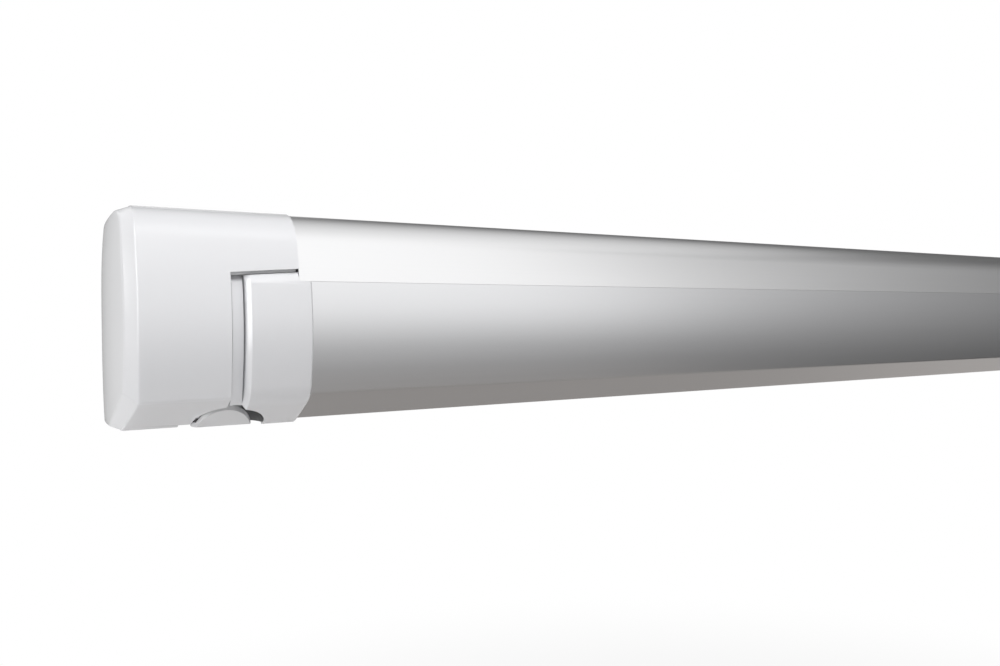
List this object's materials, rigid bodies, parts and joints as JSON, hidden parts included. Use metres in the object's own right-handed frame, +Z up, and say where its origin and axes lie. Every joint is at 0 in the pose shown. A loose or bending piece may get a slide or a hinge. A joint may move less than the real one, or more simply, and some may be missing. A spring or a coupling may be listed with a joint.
{
  "type": "roll out awning",
  "caption": "Closed cassette awning for a camper wall: anodised hood and lead rail with white end caps, a cranked fabric roller, folding arms and fold-down legs.",
  "frame": {"origin": "middle of the centre wall bracket's back face, at half the cassette's height", "axes": "+X along the awning from the crank end, +Y into the wall, +Z up; the front faces -Y"},
  "size_m": [2.6, 0.1415, 0.154],
  "materials": {
    "anodised_aluminium": "satin anodised, fine lines along the length",
    "white_plastic": "smooth moulded",
    "plate_steel": "zinc grey",
    "gearbox_plastic": "moulded",
    "bush_plastic": "natural",
    "zinc_steel": "zinc plated",
    "seal_rubber": "matte",
    "awning_fabric": "coated cloth with plain stripes",
    "roller_aluminium": "mill finish",
    "wheel_brass": "cut",
    "spring_steel": "oiled",
    "arm_aluminium": "satin anodised",
    "cast_aluminium": "cast, powder coated grey",
    "leg_aluminium": "satin anodised",
    "foot_rubber": "matte",
    "lever_plastic": "fine grain"
  },
  "bodies": {
    "cassette": {"cassette_housing": "anodised_aluminium", "end_cap_left": "white_plastic", "end_cap_right": "white_plastic", "end_plate_left": "plate_steel", "end_plate_right": "plate_steel", "gearbox_housing": "gearbox_plastic", "crank_collar": "white_plastic", "roller_bushes": "bush_plastic", "cap_screws": "zinc_steel", "hood_seal": "seal_rubber", "wall_bracket_left": "plate_steel", "wall_bracket_centre": "plate_steel", "wall_bracket_right": "plate_steel", "shoulder_bracket_left": "cast_aluminium", "shoulder_bracket_right": "cast_aluminium", "shoulder_pins": "zinc_steel", "fabric_sheet": "awning_fabric"},
    "roller": {"roller_tube": "roller_aluminium", "fabric_roll": "awning_fabric", "roller_plug_left": "gearbox_plastic", "roller_plug_right": "gearbox_plastic", "worm_wheel": "wheel_brass"},
    "crank": {"worm_shaft": "zinc_steel", "crank_boss": "zinc_steel"},
    "left_upper_arm": {"upper_arm_left": "arm_aluminium", "shoulder_knuckle_left": "cast_aluminium", "elbow_fork_left": "cast_aluminium", "elbow_pin_left": "zinc_steel", "arm_spring_left": "spring_steel"},
    "left_forearm": {"forearm_left": "arm_aluminium", "elbow_knuckle_left": "cast_aluminium", "front_knuckle_left": "cast_aluminium"},
    "right_upper_arm": {"upper_arm_right": "arm_aluminium", "shoulder_knuckle_right": "cast_aluminium", "elbow_fork_right": "cast_aluminium", "elbow_pin_right": "zinc_steel", "arm_spring_right": "spring_steel"},
    "right_forearm": {"forearm_right": "arm_aluminium", "elbow_knuckle_right": "cast_aluminium", "front_knuckle_right": "cast_aluminium"},
    "lead_rail": {"lead_rail": "anodised_aluminium", "lead_cap_left": "white_plastic", "lead_cap_right": "white_plastic", "front_bracket_left": "cast_aluminium", "front_bracket_right": "cast_aluminium", "front_pins": "zinc_steel", "leg_hinge_left": "zinc_steel", "leg_hinge_right": "zinc_steel"},
    "fabric_front": {"fabric_bead": "awning_fabric"},
    "left_leg": {"leg_outer_left": "leg_aluminium"},
    "left_leg_inner": {"leg_inner_left": "leg_aluminium"},
    "left_foot": {"leg_foot_left": "foot_rubber"},
    "left_lever": {"leg_lever_left": "lever_plastic"},
    "right_leg": {"leg_outer_right": "leg_aluminium"},
    "right_leg_inner": {"leg_inner_right": "leg_aluminium"},
    "right_foot": {"leg_foot_right": "foot_rubber"},
    "right_lever": {"leg_lever_right": "lever_plastic"}
  },
  "joints": [
    {"name": "left_shoulder", "type": "hinge", "parent": "cassette", "child": "left_upper_arm", "pos_m": [-1.13, -0.03, -0.027], "axis": [0, 0, -1], "range_deg": [0, 74]},
    {"name": "left_elbow", "type": "hinge", "parent": "left_upper_arm", "child": "left_forearm", "pos_m": [-0.08, -0.047, -0.027], "axis": [0, 0, 1], "range_deg": [0, 148]},
    {"name": "left_front", "type": "hinge", "parent": "left_forearm", "child": "lead_rail", "pos_m": [-1.13, -0.064, -0.027], "axis": [0, 0, -1], "range_deg": [0, 74]},
    {"name": "right_shoulder", "type": "hinge", "parent": "cassette", "child": "right_upper_arm", "pos_m": [1.13, -0.03, -0.027], "axis": [0, 0, 1], "range_deg": [0, 74]},
    {"name": "right_elbow", "type": "hinge", "parent": "right_upper_arm", "child": "right_forearm", "pos_m": [0.08, -0.047, -0.027], "axis": [0, 0, -1], "range_deg": [0, 148]},
    {"name": "roller_turn", "type": "hinge", "parent": "cassette", "child": "roller", "pos_m": [0, -0.075, 0.026], "axis": [-1, 0, 0], "range_deg": [0, 3700]},
    {"name": "crank_turn", "type": "hinge", "parent": "cassette", "child": "crank", "pos_m": [-1.235, -0.1045, 0], "axis": [0, 0, -1], "range_deg": [0, 37000]},
    {"name": "fabric_payout", "type": "slide", "parent": "cassette", "child": "fabric_front", "axis": [0, -1, 0], "range_m": [0, 1.9945], "deforming": ["fabric_sheet"]},
    {"name": "left_leg_fold", "type": "hinge", "parent": "lead_rail", "child": "left_leg", "pos_m": [-1.15, -0.0905, -0.059], "axis": [0, 1, 0], "range_deg": [0, 90]},
    {"name": "left_leg_slide", "type": "slide", "parent": "left_leg", "child": "left_leg_inner", "axis": [1, 0, 0], "range_m": [0, 0.85]},
    {"name": "left_foot_tilt", "type": "hinge", "parent": "left_leg_inner", "child": "left_foot", "pos_m": [-0.086, -0.0905, -0.059], "axis": [0, 1, 0], "range_deg": [0, 90]},
    {"name": "left_lever_flip", "type": "hinge", "parent": "left_leg", "child": "left_lever", "pos_m": [-0.116, -0.0905, -0.068], "axis": [0, -1, 0], "range_deg": [0, 75]},
    {"name": "right_leg_fold", "type": "hinge", "parent": "lead_rail", "child": "right_leg", "pos_m": [1.15, -0.0695, -0.059], "axis": [0, -1, 0], "range_deg": [0, 90]},
    {"name": "right_leg_slide", "type": "slide", "parent": "right_leg", "child": "right_leg_inner", "axis": [-1, 0, 0], "range_m": [0, 0.85]},
    {"name": "right_foot_tilt", "type": "hinge", "parent": "right_leg_inner", "child": "right_foot", "pos_m": [0.086, -0.0695, -0.059], "axis": [0, -1, 0], "range_deg": [0, 90]},
    {"name": "right_lever_flip", "type": "hinge", "parent": "right_leg", "child": "right_lever", "pos_m": [0.116, -0.0695, -0.068], "axis": [0, 1, 0], "range_deg": [0, 75]}
  ],
  "couplings": [
    {"joint": "left_elbow", "follows": "left_shoulder", "ratio": 2},
    {"joint": "left_front", "follows": "left_shoulder", "ratio": 1},
    {"joint": "right_shoulder", "follows": "left_shoulder", "ratio": 1},
    {"joint": "right_elbow", "follows": "left_shoulder", "ratio": 2},
    {"joint": "roller_turn", "follows": "left_shoulder", "ratio": 50},
    {"joint": "crank_turn", "follows": "left_shoulder", "ratio": 500},
    {"joint": "fabric_payout", "follows": "left_shoulder", "m_per_rad": 1.5439}
  ]
}
